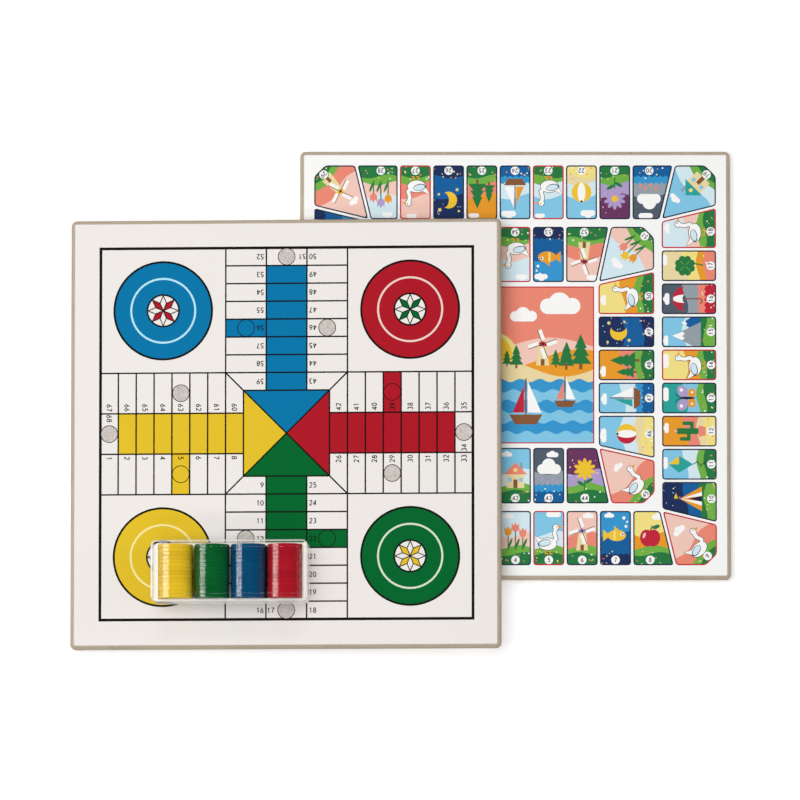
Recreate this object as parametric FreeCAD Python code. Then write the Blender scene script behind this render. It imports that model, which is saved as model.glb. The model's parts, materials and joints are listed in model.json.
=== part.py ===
import FreeCAD, Part
import math
import os

# Parcheesi and goose board set: two reversible game boards, one leaning on the edge of the other,
# and a clear box of counters on the upper one. Millimetres, +Z up.
# The origin is the middle of the face that the lower board rests on.

# Boards
BOARD_SIDE = 330.0
CORE_THICKNESS = 9.2
EDGE_ROUND = 3.0
SHEET_THICKNESS = 0.4
SHEET_CORNER = 1.2

# How the upper board lies on the lower one
LEAN_RUN = 175.0
LEAN_GAP = 0.3
SHIFT_FORWARD = 53.8

# Counters
COUNTER_DIAMETER = 26.5
COUNTER_THICKNESS = 2.9
COUNTER_BEVEL = 0.25
COUNTER_GAP = 0.04
COUNTERS_PER_STACK = 14
COUNTERS_SHARING_LAST_NODE = 2
STACK_COLOURS = ("yellow", "green", "blue", "red")
STACK_SPACING = 1.4

# Tray
TRAY_WALL = 1.0
TRAY_FOOT = 0.6
CRADLE_CLEARANCE = 0.3
CRADLE_DEPTH = 9.0
STACK_END_GAP = 0.4
SIDE_LAND = 3.0
FLANGE_HEIGHT = 2.0
BOX_CORNER = 4.0

# Lid
LID_WALL = 1.2
LID_FIT = 0.25
LID_HEADROOM = 0.8
LID_EDGE_ROUND = 2.0
LID_INNER_ROUND = 0.8
PANEL_INSET = 5.3
PANEL_RISE = 0.8
PANEL_ROUND = 0.6
SEAT_GAP = 0.1

# Where the middle of the counters' box stands on the upper board, from two edges of that board
BOX_FROM_LEFT = 123.8
BOX_FROM_FRONT = 57.8

# Sizes that follow from the ones above
board_corner = SHEET_CORNER + EDGE_ROUND
sheet_side = BOARD_SIDE - 2 * EDGE_ROUND
board_thickness = CORE_THICKNESS + 2 * SHEET_THICKNESS
lean_length = math.hypot(board_thickness, LEAN_RUN)
lean_angle = math.atan2(board_thickness, LEAN_RUN) + math.asin(LEAN_GAP / lean_length)

stack_pitch = COUNTER_DIAMETER + STACK_SPACING
stack_length = COUNTERS_PER_STACK * (COUNTER_THICKNESS + COUNTER_GAP) - COUNTER_GAP
cradle_radius = COUNTER_DIAMETER / 2 + CRADLE_CLEARANCE
cradle_length = stack_length + 2 * STACK_END_GAP
stack_span = (len(STACK_COLOURS) - 1) * stack_pitch
stack_axis_height = TRAY_FOOT + TRAY_WALL + cradle_radius

tray_length = stack_span + 2 * (cradle_radius + SIDE_LAND)
tray_width = cradle_length + 2 * TRAY_WALL
tray_height = TRAY_FOOT + TRAY_WALL + CRADLE_DEPTH
box_length = tray_length + 2 * (LID_FIT + LID_WALL)
box_width = tray_width + 2 * (LID_FIT + LID_WALL)
tray_corner = BOX_CORNER - LID_WALL - LID_FIT

lid_foot = FLANGE_HEIGHT + SEAT_GAP
lid_ceiling = stack_axis_height + COUNTER_DIAMETER / 2 + LID_HEADROOM
lid_top = lid_ceiling + LID_WALL
panel_top = lid_top + PANEL_RISE


def upper_board_place():
    """Leans the upper board: its left edge on the table, its underside on the lower board's left edge."""
    turn = FreeCAD.Rotation(FreeCAD.Vector(0, 1, 0), -math.degrees(lean_angle))
    resting_edge = FreeCAD.Vector(-sheet_side / 2, 0, 0)
    edge_on_table = FreeCAD.Vector(-sheet_side / 2 - LEAN_RUN, -SHIFT_FORWARD, 0)
    return FreeCAD.Placement(edge_on_table - turn.multVec(resting_edge), turn)


def box_place():
    """Stands the box of counters on the upper board's printed face."""
    right = BOX_FROM_LEFT - BOARD_SIDE / 2
    back = BOX_FROM_FRONT - BOARD_SIDE / 2
    on_board = FreeCAD.Vector(right, back, board_thickness + SEAT_GAP)
    return upper_board_place().multiply(FreeCAD.Placement(on_board, FreeCAD.Rotation()))


def plate(length, width, bottom, top, corner):
    """An upright block with rounded corners, centred on X and Y."""
    start = FreeCAD.Vector(-length / 2, -width / 2, bottom)
    block = Part.makeBox(length, width, top - bottom, start)
    upright = [e for e in block.Edges if e.BoundBox.ZLength > (top - bottom) / 2]
    return block.makeFillet(corner, upright)


def level_edges(shape, height):
    """The edges of a shape that lie in one level plane."""
    flat = 1e-6
    return [e for e in shape.Edges if e.BoundBox.ZLength < flat and abs(e.BoundBox.ZMin - height) < flat]


def board_core():
    """Fibreboard square with its upper and lower edges rounded over."""
    bottom = SHEET_THICKNESS
    top = bottom + CORE_THICKNESS
    core = plate(BOARD_SIDE, BOARD_SIDE, bottom, top, board_corner)
    return core.makeFillet(EDGE_ROUND, level_edges(core, bottom) + level_edges(core, top))


def printed_sheet(bottom):
    """Printed laminate that covers the flat of one face."""
    return plate(sheet_side, sheet_side, bottom, bottom + SHEET_THICKNESS, SHEET_CORNER)


def board(name, upper_print, lower_print):
    """One reversible board: core, sheet on top and sheet below."""
    return {
        name + "_core": board_core(),
        name + "_" + upper_print + "_sheet": printed_sheet(SHEET_THICKNESS + CORE_THICKNESS),
        name + "_" + lower_print + "_sheet": printed_sheet(0.0),
    }


def stack_places():
    """The X of each stack's axis, from the middle of the box."""
    return [i * stack_pitch - stack_span / 2 for i in range(len(STACK_COLOURS))]


def cradles(radius, length):
    """One lying cylinder for each stack."""
    rods = []
    for x in stack_places():
        start = FreeCAD.Vector(x, -length / 2, stack_axis_height)
        rods.append(Part.makeCylinder(radius, length, start, FreeCAD.Vector(0, 1, 0)))
    return rods[0].fuse(rods[1:])


def counter_tray():
    """Thin-walled base: a flange for the lid to stand on, and four half-round cradles."""
    block = plate(tray_length, tray_width, 0, tray_height, tray_corner)
    flange = plate(box_length, box_width, 0, FLANGE_HEIGHT, BOX_CORNER)
    outside = block.fuse(flange).removeSplitter()
    hollow_length = tray_length - 2 * TRAY_WALL
    hollow_width = tray_width - 2 * TRAY_WALL
    hollow = plate(hollow_length, hollow_width, 0, tray_height - TRAY_WALL, tray_corner - TRAY_WALL)
    hollow = hollow.cut(cradles(cradle_radius + TRAY_WALL, tray_width))
    return outside.cut(cradles(cradle_radius, cradle_length)).cut(hollow)


def counter_lid():
    """Slip-on cover, open below, rounded over at the top, with a raised panel there."""
    cover = plate(box_length, box_width, lid_foot, lid_top, BOX_CORNER)
    cover = cover.makeFillet(LID_EDGE_ROUND, level_edges(cover, lid_top))
    panel_length = box_length - 2 * PANEL_INSET
    panel_width = box_width - 2 * PANEL_INSET
    panel = plate(panel_length, panel_width, lid_ceiling, panel_top, BOX_CORNER)
    panel = panel.makeFillet(min(PANEL_ROUND, PANEL_RISE), level_edges(panel, panel_top))
    inside_length = box_length - 2 * LID_WALL
    inside_width = box_width - 2 * LID_WALL
    inside = plate(inside_length, inside_width, lid_foot, lid_ceiling, BOX_CORNER - LID_WALL)
    inside = inside.makeFillet(LID_INNER_ROUND, level_edges(inside, lid_ceiling))
    return cover.fuse(panel).cut(inside).removeSplitter()


def counter(x, front):
    """A bevelled disc lying on its side, with its front face at the given Y."""
    radius = COUNTER_DIAMETER / 2
    outline = [
        (0, 0),
        (radius - COUNTER_BEVEL, 0),
        (radius, COUNTER_BEVEL),
        (radius, COUNTER_THICKNESS - COUNTER_BEVEL),
        (radius - COUNTER_BEVEL, COUNTER_THICKNESS),
        (0, COUNTER_THICKNESS),
    ]
    points = [FreeCAD.Vector(r, y, 0) for r, y in outline]
    face = Part.Face(Part.makePolygon(points + points[:1]))
    disc = face.revolve(FreeCAD.Vector(0, 0, 0), FreeCAD.Vector(0, 1, 0), 360)
    disc.translate(FreeCAD.Vector(x, front, stack_axis_height))
    return disc


def counter_stack(colour, x):
    """The counters of one colour, front to back. The last few share a node."""
    step = COUNTER_THICKNESS + COUNTER_GAP
    discs = [counter(x, i * step - stack_length / 2) for i in range(COUNTERS_PER_STACK)]
    single = COUNTERS_PER_STACK - COUNTERS_SHARING_LAST_NODE
    nodes = {f"{colour}_counter_{i + 1:02d}": discs[i] for i in range(single)}
    nodes[colour + "_counters_at_back"] = Part.makeCompound(discs[single:])
    return nodes


def put(nodes, place):
    """Moves the pieces of one assembly to where it stands."""
    for shape in nodes.values():
        shape.Placement = place.multiply(shape.Placement)
    return nodes


def game_set():
    """Every piece by its name, where it lies at rest."""
    box = {"counter_tray": counter_tray(), "counter_lid": counter_lid()}
    for colour, x in zip(STACK_COLOURS, stack_places()):
        box.update(counter_stack(colour, x))
    pieces = board("lower_board", "goose", "parcheesi")
    pieces.update(put(board("upper_board", "parcheesi", "goose"), upper_board_place()))
    pieces.update(put(box, box_place()))
    return pieces


os.makedirs("parts", exist_ok=True)
for node, shape in game_set().items():
    shape.exportStep(f"parts/{node}.step")
print(f"board {BOARD_SIDE:.0f} mm square, {board_thickness:.1f} mm thick")
print(f"upper board leans {math.degrees(lean_angle):.3f} degrees")
print(f"box {box_length:.1f} x {box_width:.1f} x {panel_top:.1f} mm")
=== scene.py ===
# %% [markdown]
# # A parcheesi and goose set
# The set is two square game boards and a clear box of plastic counters. Each board is a fibreboard core
# with a printed sheet on both faces: parcheesi on one, a goose track on the other. The CAD frame holds
# every solid where it lies, so nothing here is placed by eye. This lesson reads the frame, prints the
# faces, stacks the counters and gives each surface its finish.

# %% Load the frame
import json
import math
import random

import bpy
from mathutils import Matrix, Vector
from mathutils.geometry import delaunay_2d_cdt


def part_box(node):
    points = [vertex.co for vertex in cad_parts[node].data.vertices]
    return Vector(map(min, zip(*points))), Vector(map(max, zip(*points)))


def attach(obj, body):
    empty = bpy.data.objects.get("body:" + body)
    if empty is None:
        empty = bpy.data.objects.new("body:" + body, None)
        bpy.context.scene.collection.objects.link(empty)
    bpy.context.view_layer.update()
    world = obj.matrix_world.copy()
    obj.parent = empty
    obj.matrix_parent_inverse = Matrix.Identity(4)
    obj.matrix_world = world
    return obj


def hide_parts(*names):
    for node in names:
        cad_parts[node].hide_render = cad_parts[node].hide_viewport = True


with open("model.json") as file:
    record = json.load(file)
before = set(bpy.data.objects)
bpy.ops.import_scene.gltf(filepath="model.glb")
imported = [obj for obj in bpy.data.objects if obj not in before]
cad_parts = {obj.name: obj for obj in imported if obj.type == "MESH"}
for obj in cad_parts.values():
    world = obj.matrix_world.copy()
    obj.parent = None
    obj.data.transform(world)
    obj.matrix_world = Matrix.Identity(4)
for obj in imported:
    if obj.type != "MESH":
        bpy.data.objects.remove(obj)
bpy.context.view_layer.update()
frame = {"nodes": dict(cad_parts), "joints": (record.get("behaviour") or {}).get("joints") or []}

MM = 0.001

# %% [markdown]
# ## How the boards lie
# The lower board lies flat on the table. The upper one leans on its left edge by about three degrees.
# The angle could be written down here, but then it could drift from the solids. The box of counters is
# lifted off square to the upper board, so the axis of that joint gives the tilt exactly.

# %% Planes of the printed faces
box_lift = next(joint for joint in frame["joints"] if joint["name"] == "counter_box_lift")
upper_normal = Vector(box_lift["axis"])
flat = Matrix.Identity(4)
lean = Matrix.Rotation(math.atan2(upper_normal.x, upper_normal.z), 4, "Y")
face_down = Matrix.Rotation(math.pi, 4, "Y")

core_low, core_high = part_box("lower_board_core")
sheet_low, sheet_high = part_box("lower_board_goose_sheet")
board_side = (core_high.x - core_low.x) / MM
sheet_side = (sheet_high.x - sheet_low.x) / MM
sheet_thickness = (sheet_high.z - sheet_low.z) / MM
print(f"board {board_side:.1f} mm, sheet {sheet_side:.1f} x {sheet_thickness:.2f} mm")

# %% [markdown]
# ## The camera
# The photograph looks down on the boards from the front, a few degrees off straight down. A long lens
# far away keeps the squares square. The upper board's place in the photograph sets the aim, and its
# side there sets the scale, so the render and the photograph can be laid over each other.

# %% Camera
PHOTO_PIXELS = 800
BOARD_PIXELS = 431.3
BOARD_MIDDLE_PIXELS = (285.6, 433.5)
CAMERA_ELEVATION = math.radians(84)
CAMERA_DISTANCE = 8.0

pixel = board_side * MM / BOARD_PIXELS
upper_low, upper_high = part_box("upper_board_parcheesi_sheet")
aim = (upper_low + upper_high) / 2
aim.x += (PHOTO_PIXELS / 2 - BOARD_MIDDLE_PIXELS[0]) * pixel
aim.y += (BOARD_MIDDLE_PIXELS[1] - PHOTO_PIXELS / 2) * pixel / math.sin(CAMERA_ELEVATION)
towards_camera = Vector((0, -math.cos(CAMERA_ELEVATION), math.sin(CAMERA_ELEVATION)))

camera = bpy.data.objects.new("camera", bpy.data.cameras.new("camera"))
camera.data.lens = camera.data.sensor_width * CAMERA_DISTANCE / (PHOTO_PIXELS * pixel)
camera.location = aim + towards_camera * CAMERA_DISTANCE
camera.rotation_euler = (math.pi / 2 - CAMERA_ELEVATION, 0, 0)
bpy.context.scene.collection.objects.link(camera)
bpy.context.scene.camera = camera
print(f"lens {camera.data.lens:.0f} mm, one pixel is {pixel / MM:.3f} mm")

# %% [markdown]
# ## Colours and nodes
# Colours are written as sRGB hex values, as a printer's swatch gives them, and one function turns them
# to the linear values that shaders use. One more function adds a node with its settings and links, and
# short ones add the kinds that come back: noise, bumps, arithmetic and mixes. All surfaces read the
# place on their own piece, so a pattern stays put when the piece moves.

# %% Colour and node helpers
def linear(code):
    """An sRGB hex colour as linear red, green, blue and alpha."""
    shares = [int(code[i:i + 2], 16) / 255 for i in (1, 3, 5)]
    return [s / 12.92 if s <= 0.04045 else ((s + 0.055) / 1.055) ** 2.4 for s in shares] + [1.0]


def add_node(tree, kind, inputs=None, **settings):
    """Adds a node. Settings are its attributes; an input is a plain value, or a socket to link from."""
    node = tree.nodes.new(kind)
    for name, value in settings.items():
        setattr(node, name, value)
    for key, value in (inputs or {}).items():
        if isinstance(value, bpy.types.NodeSocket):
            tree.links.new(value, node.inputs[key])
        else:
            node.inputs[key].default_value = value
    return node


def new_material(name):
    """An empty material, its node tree and its output node."""
    material = bpy.data.materials.new(name)
    material.use_nodes = True
    material.node_tree.nodes.clear()
    output = add_node(material.node_tree, "ShaderNodeOutputMaterial")
    return material, material.node_tree, output.inputs["Surface"]


print("print white", [round(v, 3) for v in linear("#F1ECE8")])


# %% Nodes that come back
def object_place(tree):
    """The place of a point on its own piece."""
    return add_node(tree, "ShaderNodeTexCoord").outputs["Object"]


def noise(tree, place, grain, detail=2.0):
    """Noise with grains of a size in millimetres."""
    inputs = {"Vector": place, "Scale": 1 / (grain * MM), "Detail": detail}
    return add_node(tree, "ShaderNodeTexNoise", inputs).outputs["Fac"]


def spread(tree, value, ends):
    """A value from 0 to 1, mapped to run from one end to the other."""
    inputs = {"Value": value, "To Min": ends[0], "To Max": ends[1]}
    return add_node(tree, "ShaderNodeMapRange", inputs).outputs["Result"]


def bump(tree, height, depth, strength=0.6):
    """A bump with a depth in millimetres."""
    inputs = {"Height": height, "Distance": depth * MM, "Strength": strength}
    return add_node(tree, "ShaderNodeBump", inputs).outputs["Normal"]


def calculate(tree, operation, *values):
    """One step of arithmetic."""
    return add_node(tree, "ShaderNodeMath", dict(enumerate(values)), operation=operation).outputs["Value"]


def tones(tree, value, stops):
    """A colour that runs between two stops, each a position and a linear colour."""
    ramp = add_node(tree, "ShaderNodeValToRGB", {"Fac": value})
    for element, (position, colour) in zip(ramp.color_ramp.elements, stops):
        element.position = position
        element.color = colour
    return ramp.outputs["Color"]


def principled(tree, inputs):
    """A principled shader."""
    return add_node(tree, "ShaderNodeBsdfPrincipled", inputs).outputs["BSDF"]


def mixed(tree, share, first, second):
    """Two shaders, mixed by the share of the second."""
    return add_node(tree, "ShaderNodeMixShader", {0: share, 1: first, 2: second}).outputs["Shader"]


print("grains of 1 mm are noise at scale", round(1 / MM))

# %% [markdown]
# ## Studio light and floor
# The photograph is a soft studio picture on white. Broad light from above leaves hardly a shadow, yet
# the flat lid and the print mirror none of it, as when a photographer crosses two polarising filters.
# So the overhead softbox and the two fills beside it light the boards but are kept out of reflections.
# A tall, narrow one on the left does the opposite: it only mirrors, and draws the bright stripe along
# each stack of counters. Two small ones behind and in front put the thin lights on the lid's edges.

# %% Lamps
DIM_ROOM = 0.02
WHITE_WALLS = 1.1


def softbox(name, offset, width, height, radiance, lights=True, mirrored=True):
    """A rectangular lamp, offset from the middle of the view and facing it. Its light is set per area."""
    lamp = bpy.data.objects.new(name, bpy.data.lights.new(name, "AREA"))
    lamp.data.shape = "RECTANGLE"
    lamp.data.size = width
    lamp.data.size_y = height
    lamp.data.energy = radiance * math.pi * width * height
    lamp.location = aim + Vector(offset)
    lamp.rotation_euler = (-Vector(offset)).to_track_quat("-Z", "Y").to_euler()
    lamp.visible_camera = False
    lamp.visible_diffuse = lights
    lamp.visible_glossy = mirrored
    lamp.visible_transmission = mirrored
    lamp.data.cycles.use_multiple_importance_sampling = mirrored
    bpy.context.scene.collection.objects.link(lamp)


def studio_room():
    """A dim room that shows as white walls through the clear plastic, whose edges would else look black."""
    world = bpy.data.worlds.new("studio")
    world.use_nodes = True
    tree = world.node_tree
    rays = add_node(tree, "ShaderNodeLightPath")
    strength = spread(tree, rays.outputs["Is Transmission Ray"], (DIM_ROOM, WHITE_WALLS))
    room = tree.nodes["Background"]
    room.inputs["Color"].default_value = linear("#FFFDFA")
    tree.links.new(strength, room.inputs["Strength"])
    return world


bpy.context.scene.world = studio_room()
bpy.context.scene.view_settings.view_transform = "Standard"

softbox("overhead", (-0.8, 0.05, 2.4), 2.4, 2.4, 3.2, mirrored=False)
softbox("left_fill", (-0.95, 0.0, 0.6), 0.9, 0.5, 0.5, mirrored=False)
softbox("right_fill", (2.1, 0.0, 1.2), 1.6, 1.6, 1.6, mirrored=False)
softbox("left_strip", (-2.05, 0.2, 0.85), 0.8, 1.7, 7.5, lights=False)
softbox("back_light", (0.0, 2.0, 2.0), 1.6, 0.25, 8.0)
softbox("front_light", (0.0, -2.0, 2.0), 1.6, 0.25, 8.0)
print("lamps:", [lamp.name for lamp in bpy.data.lights])

# %% Floor
FLOOR_SIDE = 12.0
FLOOR_DROP = 0.2
FLOOR_GLOW = 0.3


def studio_floor():
    """A wide pale floor just under the boards. It glows a little, as a light table does."""
    half = FLOOR_SIDE / 2
    corners = [(-half, -half), (half, -half), (half, half), (-half, half)]
    mesh = bpy.data.meshes.new("studio_floor")
    mesh.from_pydata([(x, y, -FLOOR_DROP * MM) for x, y in corners], [], [(0, 1, 2, 3)])
    material, tree, surface = new_material("matt_white_paper_floor")
    paper = principled(tree, {
        "Base Color": linear("#F4F4F4"), "Roughness": 0.9, "Specular IOR Level": 0.1,
        "Emission Color": linear("#FFFFFF"), "Emission Strength": FLOOR_GLOW,
    })
    tree.links.new(paper, surface)
    material.cycles.emission_sampling = "NONE"
    mesh.materials.append(material)
    floor = bpy.data.objects.new("studio_floor", mesh)
    bpy.context.scene.collection.objects.link(floor)


studio_floor()
print("floor", FLOOR_SIDE, "m wide")

# %% [markdown]
# ## Outlines for print
# A print is flat areas of ink, so each face is drawn as a list of shapes in painter's order. A shape is
# the name of an ink and an outline in millimetres. A picture texture could hold the same print, but it
# would blur at the small numbers. Real outlines stay sharp from any distance. These helpers make the
# outlines that both faces use.

# %% Points and simple outlines
def arc(x, y, rx, ry, start, end, steps=12):
    """Points along part of an ellipse, between two angles in degrees."""
    angles = [math.radians(start + (end - start) * i / steps) for i in range(steps + 1)]
    return [(x + rx * math.cos(a), y + ry * math.sin(a)) for a in angles]


def disc(radius, x=0, y=0):
    """A circle, with more corners the larger it is."""
    return arc(x, y, radius, radius, 0, 360, 12 + 4 * int(radius / 1.5))[1:]


def bar(left, foot, right, top):
    """An upright rectangle."""
    return [(left, foot), (right, foot), (right, top), (left, top)]


def square(half):
    """A square about the origin."""
    return bar(-half, -half, half, half)


def moved(points, at=(0, 0), turn=0, size=1):
    """Points scaled, then turned by degrees, then shifted."""
    c = math.cos(math.radians(turn)) * size
    s = math.sin(math.radians(turn)) * size
    return [(at[0] + c * x - s * y, at[1] + s * x + c * y) for x, y in points]


def put(shapes, at=(0, 0), turn=0, size=1):
    """A list of shapes, moved together."""
    return [(ink, moved(points, at, turn, size)) for ink, points in shapes]


def oval(x, y, rx, ry, turn=0):
    """An ellipse about a point, turned by degrees."""
    return moved(arc(0, 0, rx, ry, 0, 360, 20)[1:], (x, y), turn)


print("a 10 mm disc has", len(disc(10)), "corners")

# %% Strokes, insets and clipping
SHARPEST_MITRE = 0.4


def corner_shift(before, point, after):
    """How far a corner moves when the lines on both sides of it move one unit to the left."""
    way_in = (Vector(point) - Vector(before)).normalized()
    way_out = (Vector(after) - Vector(point)).normalized()
    across = Vector((-way_in.y - way_out.y, way_in.x + way_out.x))
    return across / max(1 + way_in.dot(way_out), SHARPEST_MITRE)


def stroke(points, width):
    """The outline of a line of even width, with square ends."""
    first = Vector(points[0]) * 2 - Vector(points[1])
    last = Vector(points[-1]) * 2 - Vector(points[-2])
    path = [first, *[Vector(p) for p in points], last]
    shifts = [corner_shift(*path[i:i + 3]) * (width / 2) for i in range(len(points))]
    right = [tuple(p - shift) for p, shift in zip(path[1:-1], shifts)]
    left = [tuple(p + shift) for p, shift in zip(path[1:-1], shifts)]
    return right + left[::-1]


def inset(points, depth):
    """An anticlockwise outline, drawn in by an even depth."""
    around = zip(points[-1:] + points[:-1], points, points[1:] + points[:1])
    return [tuple(Vector(p) + corner_shift(a, p, b) * depth) for a, p, b in around]


def rounded(points, reach, steps=5):
    """An outline with each corner cut back by reach and curved."""
    curved = []
    for a, p, b in zip(points[-1:] + points[:-1], points, points[1:] + points[:1]):
        a, p, b = Vector(a), Vector(p), Vector(b)
        start = p + (a - p).normalized() * reach
        end = p + (b - p).normalized() * reach
        for i in range(steps + 1):
            t = i / steps
            curved.append(tuple(start.lerp(p, t).lerp(p.lerp(end, t), t)))
    return curved


def clip(points, window):
    """The part of an outline that lies inside a convex, anticlockwise window."""
    for (ax, ay), (bx, by) in zip(window, window[1:] + window[:1]):
        depths = [(bx - ax) * (y - ay) - (by - ay) * (x - ax) for x, y in points]
        kept = []
        for i, depth in enumerate(depths):
            before, (px, py), (qx, qy) = depths[i - 1], points[i - 1], points[i]
            if before * depth < 0:
                t = before / (before - depth)
                kept.append((px + (qx - px) * t, py + (qy - py) * t))
            if depth >= 0:
                kept.append((qx, qy))
        points = kept
    return points


print("clipped corner:", clip(square(2), moved(square(1), (2, 2))))

# %% [markdown]
# ## Numbers
# The cells carry plain numbers in a light, round style of lettering. A font could draw them, but a font
# brings its own shapes and its own licence. Ten figures are quick to draw as strokes: lines and parts
# of ellipses in a box one unit high. A closed loop is drawn as two halves, because an outline can't
# have a hole.

# %% Figures and numbers
FIGURE_WIDTH = 0.56
FIGURE_STEP = 0.72
FIGURE_LINE = 0.16
TAIL_OF_SIX = [(0.07, 0.40), (0.40, 0.95)]


def loop(x, y, rx, ry):
    """A closed ring as two strokes."""
    return [arc(x, y, rx, ry, 90, 270, 8), arc(x, y, rx, ry, -90, 90, 8)]


FIGURES = {
    "0": loop(0.28, 0.5, 0.24, 0.44),
    "1": [[(0.12, 0.76), (0.31, 0.92), (0.31, 0.05)]],
    "2": [arc(0.28, 0.68, 0.22, 0.25, 165, -35, 9) + [(0.08, 0.07), (0.53, 0.07)]],
    "3": [arc(0.26, 0.71, 0.20, 0.22, 145, -90, 8), arc(0.26, 0.27, 0.24, 0.22, 90, -150, 8)],
    "4": [[(0.41, 0.05), (0.41, 0.94)], [(0.41, 0.9), (0.05, 0.28), (0.56, 0.28)]],
    "5": [[(0.48, 0.93), (0.18, 0.93), (0.12, 0.52)], arc(0.26, 0.33, 0.25, 0.28, 125, -145, 9)],
    "6": [*loop(0.28, 0.29, 0.23, 0.24), TAIL_OF_SIX],
    "7": [[(0.05, 0.93), (0.50, 0.93), (0.18, 0.05)]],
    "8": [*loop(0.28, 0.71, 0.18, 0.22), *loop(0.28, 0.28, 0.23, 0.23)],
    "9": [moved(line, (FIGURE_WIDTH, 1), 180) for line in [*loop(0.28, 0.29, 0.23, 0.24), TAIL_OF_SIX]],
}


def number_width(value):
    """The width of a number, in figure heights."""
    return FIGURE_STEP * (len(str(value)) - 1) + FIGURE_WIDTH


def number(value, ink, height, at=(0, 0)):
    """A number about a point."""
    shapes = []
    for place, figure in enumerate(str(value)):
        corner = (place * FIGURE_STEP - number_width(value) / 2, -0.5)
        for line in FIGURES[figure]:
            shapes.append((ink, stroke(moved(line, corner), FIGURE_LINE)))
    return put(shapes, at, 0, height)


print("a number of two figures is", number_width(68), "heights wide")

# %% [markdown]
# ## The parcheesi face
# The track is a cross of four arms about a square, the same arm four times by quarter turns. So one arm
# is drawn, pointing down, and turned. Each has eight rows in three lanes: the middle lane is the way
# home in that player's colour, and the side lanes are numbered cells with a coloured start and a grey
# safe spot. All sizes are millimetres on the real board.

# %% Sizes of the track
FRAME_HALF = 142.8
FRAME_LINE = 2.15
THIN_LINE = 1.15
CENTRE_HALF = 33.0
ROWS = 8
SPECIAL_ROW = 3
SPOT_RADIUS = 6.8
SPOT_LINE = 0.6
NUMBER_HEIGHT = 4.2
NUMBER_MARGIN = 1.9
FIRST_NUMBER = 9
ARM_CELLS = 2 * ROWS + 1
CELLS = 4 * ARM_CELLS
PLAYERS = ("green", "red", "blue", "yellow")

row_depth = (FRAME_HALF - CENTRE_HALF) / ROWS
arm_half = CENTRE_HALF + row_depth
lane_half = arm_half / 3
lane_middle = lane_half * 2
print(f"rows {row_depth:.2f} mm deep, lanes {lane_half * 2:.2f} mm wide")


def row_middle(row):
    """The height of a row's middle on the arm that points down. Row 0 lies at the centre square."""
    return -CENTRE_HALF - (row + 0.5) * row_depth


# %% Safe spots
FLECKS = 46
FLECK_SIZE = (0.3, 0.75)
fleck_draw = random.Random(68)


def safe_spot():
    """A grey disc printed as speckled stone."""
    shapes = [("line_black", disc(SPOT_RADIUS)), ("spot_grey", disc(SPOT_RADIUS - SPOT_LINE))]
    for fleck in range(FLECKS):
        reach = (SPOT_RADIUS - SPOT_LINE - FLECK_SIZE[1]) * math.sqrt(fleck_draw.random())
        at = moved([(reach, 0)], (0, 0), fleck_draw.uniform(0, 360))[0]
        size = fleck_draw.uniform(*FLECK_SIZE)
        outline = moved(arc(0, 0, size, size * 0.6, 0, 288, 4), at, fleck_draw.uniform(0, 360))
        shapes.append((fleck_draw.choice(("fleck_dark", "fleck_pale")), outline))
    return shapes


print(FLECKS, "flecks in a safe spot")


# %% One arm of the track
def arm_areas(player):
    """The coloured lane and start cell of the arm that points down."""
    start_top = row_middle(SPECIAL_ROW) + row_depth / 2
    return [
        (player, bar(-lane_half, row_depth - FRAME_HALF, lane_half, -CENTRE_HALF)),
        (player, bar(lane_half, start_top - row_depth, arm_half, start_top)),
    ]


def arm_lines():
    """The black lines between the cells of the arm that points down."""
    lines = [[(-CENTRE_HALF, -CENTRE_HALF), (CENTRE_HALF, -CENTRE_HALF)]]
    for row in range(1, ROWS):
        height = -CENTRE_HALF - row * row_depth
        lines.append([(-arm_half, height), (arm_half, height)])
    uprights = {-arm_half: arm_half, -lane_half: CENTRE_HALF, lane_half: CENTRE_HALF, arm_half: arm_half}
    for x, end in uprights.items():
        lines.append([(x, -FRAME_HALF), (x, -end)])
    return [("line_black", stroke(line, THIN_LINE)) for line in lines]


def arm_marks(first, player):
    """The spots and numbers of the arm that points down: out on the left, back on the right."""
    special, end = row_middle(SPECIAL_ROW), row_middle(ROWS - 1)
    shapes = put(safe_spot(), (-lane_middle, special)) + put(safe_spot(), (0, end))
    start = [("line_black", disc(SPOT_RADIUS)), (player, disc(SPOT_RADIUS - SPOT_LINE))]
    shapes += put(start, (lane_middle, special))
    for row in range(ROWS):
        for side, value in ((-1, first + row), (1, first + 2 * ROWS - row)):
            value = (value - 1) % CELLS + 1
            x = side * (lane_half + NUMBER_MARGIN + number_width(value) * NUMBER_HEIGHT / 2)
            shapes += number(value, "line_black", NUMBER_HEIGHT, (x, row_middle(row)))
    end_x = -lane_half + NUMBER_MARGIN / 2 + number_width(first + ROWS) * NUMBER_HEIGHT / 2
    return shapes + number(first + ROWS, "line_black", NUMBER_HEIGHT, (end_x, end))


print(len(arm_lines()), "lines on an arm")

# %% Homes in the corners
HOME_RADIUS = 38.3
HOME_LINE = 1.6
RING_RADIUS = 24.6
RING_LINE = 1.5
HUB_RADIUS = 12.8
HUB_LINE = 1.3
PETAL_REACH = 11.7
PETAL_LINE = 0.75


def rosette(petal_ink):
    """Eight diamonds about a point: coloured ones on the diagonals, white ones between."""
    half_angle = 22.5
    shoulder = PETAL_REACH / 2 / math.cos(math.radians(half_angle))
    right, left = [moved([(shoulder, 0)], (0, 0), side * half_angle)[0] for side in (-1, 1)]
    tip = (PETAL_REACH, 0)
    outline = [("line_black", stroke([(0, 0), side, tip], PETAL_LINE)) for side in (right, left)]
    petals, lines = [], []
    for turn in range(0, 360, 45):
        ink = petal_ink if turn % 90 else "parcheesi_white"
        petals += put([(ink, [(0, 0), right, tip, left])], (0, 0), turn)
        lines += put(outline, (0, 0), turn)
    return petals + lines


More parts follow.
